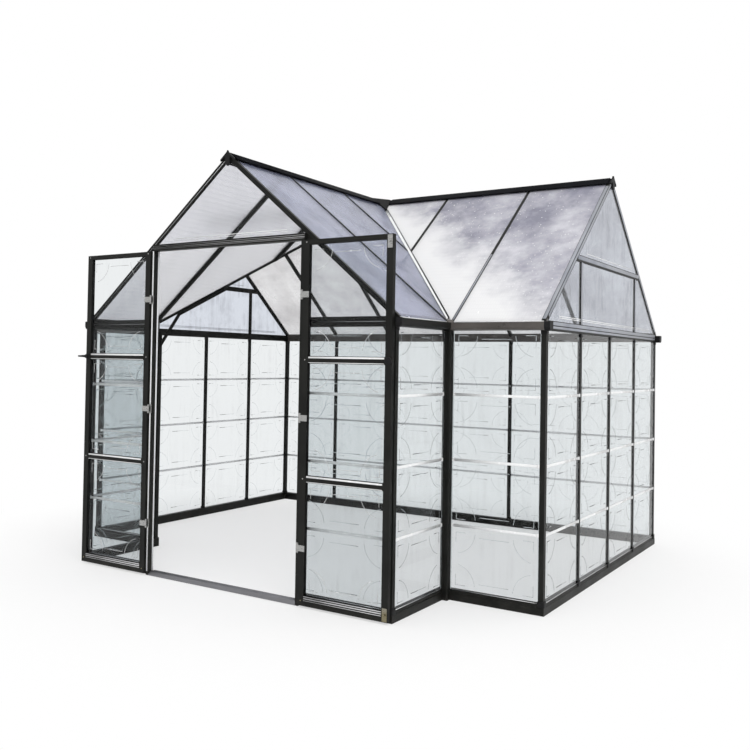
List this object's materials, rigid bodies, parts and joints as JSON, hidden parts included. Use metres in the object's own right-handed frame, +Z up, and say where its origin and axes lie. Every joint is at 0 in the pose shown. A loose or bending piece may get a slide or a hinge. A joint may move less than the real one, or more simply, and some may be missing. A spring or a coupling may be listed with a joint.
{
  "type": "greenhouse",
  "caption": "Garden greenhouse on a T-shaped plan: clear panes in a dark metal frame, crossing gable roofs with valleys, and a pair of swing doors in the entry gable.",
  "frame": {"origin": "on the ground under the middle of the overall width and depth", "axes": "+X to the right along the main ridge as seen from the door side, +Y to the back, +Z up"},
  "size_m": [3.638, 3.0714, 2.6224],
  "materials": {
    "frame_metal": "charcoal powder coat, satin",
    "wall_glazing": "clear",
    "roof_glazing": "pale translucent twin sheet",
    "bare_aluminium": "mill finish",
    "hinge_steel": "plain plated",
    "cap_plastic": "black moulded"
  },
  "bodies": {
    "greenhouse": {"base_rails_front": "frame_metal", "base_rails_sides": "frame_metal", "base_rail_back": "frame_metal", "base_rails_entry_sides": "frame_metal", "base_rails_entry_front": "frame_metal", "corner_posts": "frame_metal", "entry_corner_posts": "frame_metal", "valley_posts": "frame_metal", "door_posts": "frame_metal", "side_wall_studs": "frame_metal", "back_wall_studs": "frame_metal", "front_gutters": "frame_metal", "entry_gutters": "frame_metal", "back_gutter": "frame_metal", "side_gable_sills": "frame_metal", "entry_gable_sills": "frame_metal", "side_gable_ties": "frame_metal", "door_header": "frame_metal", "side_gable_studs": "frame_metal", "side_gable_rafters": "frame_metal", "entry_gable_rafters": "frame_metal", "main_ridge": "frame_metal", "entry_ridge": "frame_metal", "valley_rafters": "frame_metal", "valley_braces": "frame_metal", "front_roof_bars": "frame_metal", "entry_roof_bars": "frame_metal", "back_roof_bars": "frame_metal", "gutter_end_caps": "cap_plastic", "ridge_crossing_cap": "cap_plastic", "ridge_end_caps": "cap_plastic", "front_roof_panes": "roof_glazing", "entry_roof_panes": "roof_glazing", "back_roof_panes": "roof_glazing", "front_wall_panes": "wall_glazing", "entry_side_panes": "wall_glazing", "entry_front_panes": "wall_glazing", "side_wall_panes": "wall_glazing", "back_wall_panes": "wall_glazing", "side_gable_panes": "wall_glazing", "entry_gable_panes": "wall_glazing", "door_threshold": "bare_aluminium", "door_hinge_posts": "hinge_steel"},
    "left_door": {"left_door_frame": "frame_metal", "left_door_panes": "wall_glazing", "left_door_hinges": "hinge_steel", "left_door_rose": "cap_plastic"},
    "right_door": {"right_door_frame": "frame_metal", "right_door_panes": "wall_glazing", "right_door_hinges": "hinge_steel", "right_door_rose": "cap_plastic", "right_door_bolts": "hinge_steel"},
    "left_latch": {"left_door_lever": "cap_plastic"}
  },
  "joints": [
    {"name": "left_door_hinge", "type": "hinge", "parent": "greenhouse", "child": "left_door", "pos_m": [-0.593, -1.51135, 1.02503], "axis": [0, 0, 1], "range_deg": [0, 180]},
    {"name": "right_door_hinge", "type": "hinge", "parent": "greenhouse", "child": "right_door", "pos_m": [0.593, -1.51135, 1.02503], "axis": [0, 0, -1], "range_deg": [0, 180]},
    {"name": "left_latch_turn", "type": "hinge", "parent": "left_door", "child": "left_latch", "pos_m": [-1.162, -1.51335, 1.37071], "axis": [0, -1, 0], "range_deg": [0, 90]}
  ]
}
